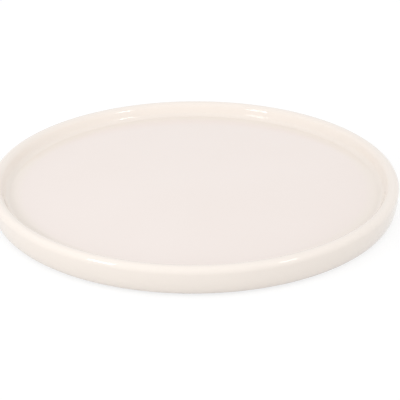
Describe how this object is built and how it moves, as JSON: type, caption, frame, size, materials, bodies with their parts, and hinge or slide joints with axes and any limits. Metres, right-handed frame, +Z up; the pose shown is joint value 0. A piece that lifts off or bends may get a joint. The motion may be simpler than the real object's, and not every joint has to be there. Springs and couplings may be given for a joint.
{
  "type": "plant saucer",
  "caption": "Round shallow glazed ceramic saucer with a thick rounded lip and felt pads underneath, to stand a plant pot on and catch its water.",
  "frame": {"origin": "on the table, under the centre of the saucer, at the lowest face of the felt pads", "axes": "+Z up along the axis that the dish is turned about; X and Y lie on the table, with the pads on the diagonals between them"},
  "size_m": [0.24, 0.24, 0.0168],
  "materials": {
    "glaze": "glossy warm white glaze, with a ring of bare clay where the foot stands in the kiln",
    "felt": "pressed wool felt",
    "adhesive": "clear acrylic adhesive film"
  },
  "bodies": {
    "root": {"dish": "glaze", "felt_pad_1": "felt", "felt_pad_2": "felt", "felt_pad_3": "felt", "felt_pad_4": "felt", "pad_adhesive_1": "adhesive", "pad_adhesive_2": "adhesive", "pad_adhesive_3": "adhesive", "pad_adhesive_4": "adhesive"}
  },
  "joints": []
}
